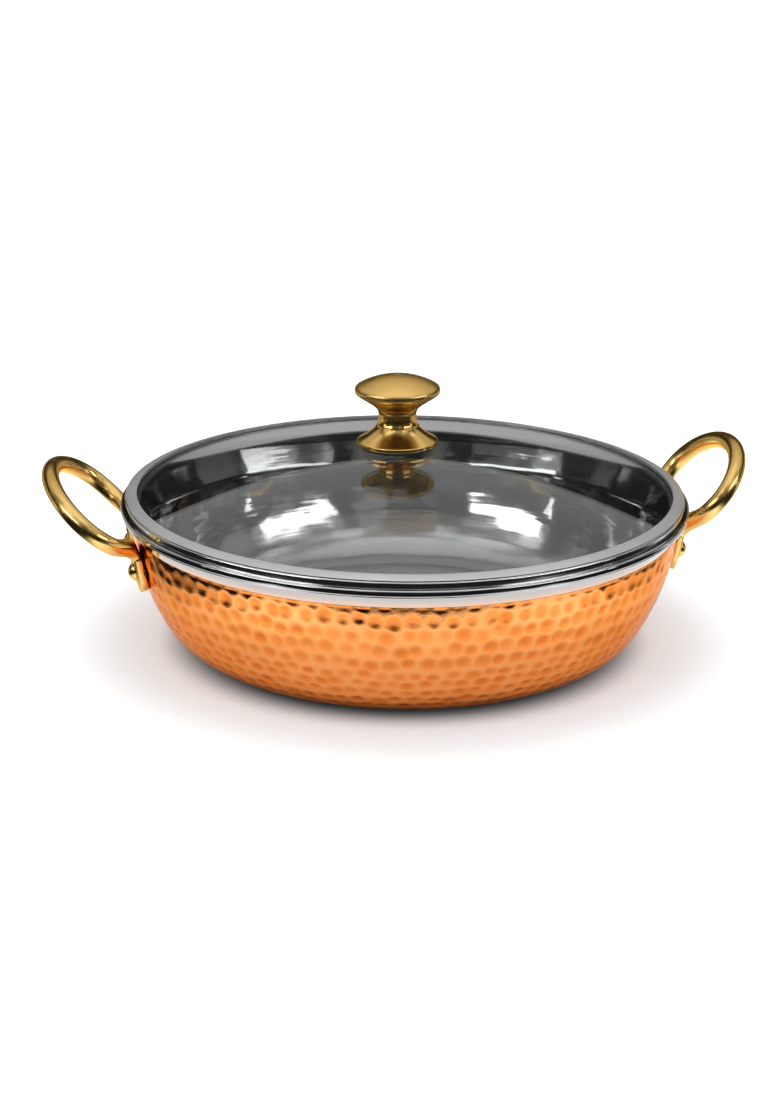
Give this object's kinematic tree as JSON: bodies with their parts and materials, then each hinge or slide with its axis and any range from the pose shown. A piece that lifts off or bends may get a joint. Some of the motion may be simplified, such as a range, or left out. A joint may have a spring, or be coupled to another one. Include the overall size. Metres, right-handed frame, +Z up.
{
  "type": "covered serving pan",
  "caption": "Shallow hammered copper pan with a polished steel bowl inside, brass loop handles, and a domed glass lid with a steel band and a turned brass knob.",
  "frame": {"origin": "middle of the flat base's underside, on the surface that the pan stands on", "axes": "+Z up; the two handles lie along X, the left one at -X; -Y is the side nearer the viewer"},
  "size_m": [0.3143, 0.254, 0.1216],
  "materials": {
    "copper": "hand-hammered copper, polished and lacquered",
    "bowl_steel": "polished stainless steel with fine turning lines",
    "brass": "forged and polished brass rod",
    "band_steel": "rolled and polished stainless band",
    "lid_glass": "clear tempered glass",
    "knob_brass": "turned brass with fine lathe lines",
    "fastener_steel": "plain stainless",
    "silicone": "matt silicone"
  },
  "bodies": {
    "pan": {"copper_shell": "copper", "steel_bowl": "bowl_steel", "handle_left": "brass", "handle_right": "brass", "rivet_left_front": "brass", "rivet_left_back": "brass", "rivet_right_front": "brass", "rivet_right_back": "brass"},
    "lid": {"lid_band": "band_steel", "lid_glass": "lid_glass", "knob": "knob_brass", "knob_screw": "fastener_steel", "knob_washer": "fastener_steel", "knob_seal_upper": "silicone", "knob_seal_lower": "silicone"}
  },
  "joints": [
    {"name": "lid_lift", "type": "slide", "parent": "pan", "child": "lid", "axis": [0, 0, 1], "range_m": [0, 0.12]}
  ]
}
